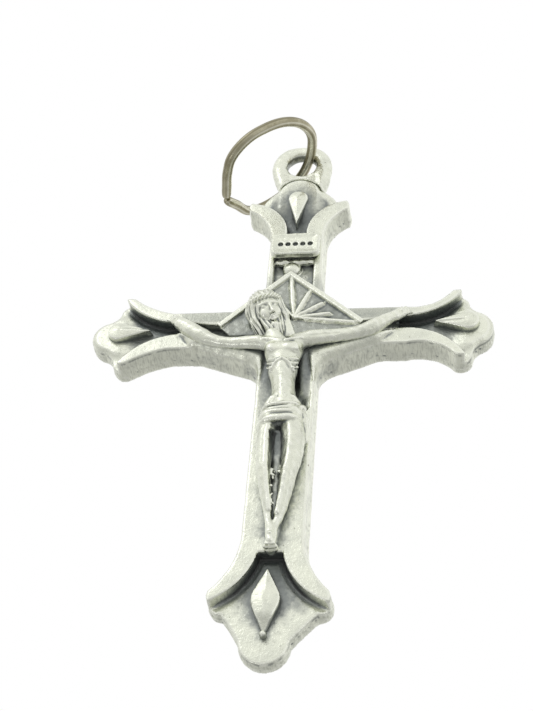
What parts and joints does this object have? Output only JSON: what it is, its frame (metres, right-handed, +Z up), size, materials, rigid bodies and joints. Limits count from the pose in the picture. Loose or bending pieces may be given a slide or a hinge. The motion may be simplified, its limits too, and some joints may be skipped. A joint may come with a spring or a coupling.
{
  "type": "pendant cross",
  "caption": "Small cast pendant cross with flared ends, applied figure in relief, eyelet and split jump ring.",
  "frame": {"origin": "centre of the hanging eyelet's hole, in the middle of the plate's thickness", "axes": "+Z up the stem, front facing -Y, +X to the right seen from the front"},
  "size_m": [0.0274, 0.0085, 0.0427],
  "materials": {
    "antiqued_silver": "silver-plated casting, oxidised dark in the recesses",
    "tarnished_wire": "tarnished nickel wire"
  },
  "bodies": {
    "crucifix": {"cross_body": "antiqued_silver", "hanging_eyelet": "antiqued_silver", "halo_plate": "antiqued_silver", "title_plaque": "antiqued_silver", "dome_stud": "antiqued_silver", "boss_top": "antiqued_silver", "boss_left": "antiqued_silver", "boss_right": "antiqued_silver", "boss_bottom": "antiqued_silver", "corpus": "antiqued_silver"},
    "ring": {"jump_ring": "tarnished_wire"}
  },
  "joints": [
    {"name": "ring_swing", "type": "hinge", "parent": "crucifix", "child": "ring", "pos_m": [0, 0, 0], "axis": [0, 1, 0], "range_deg": [-8, 176]}
  ]
}
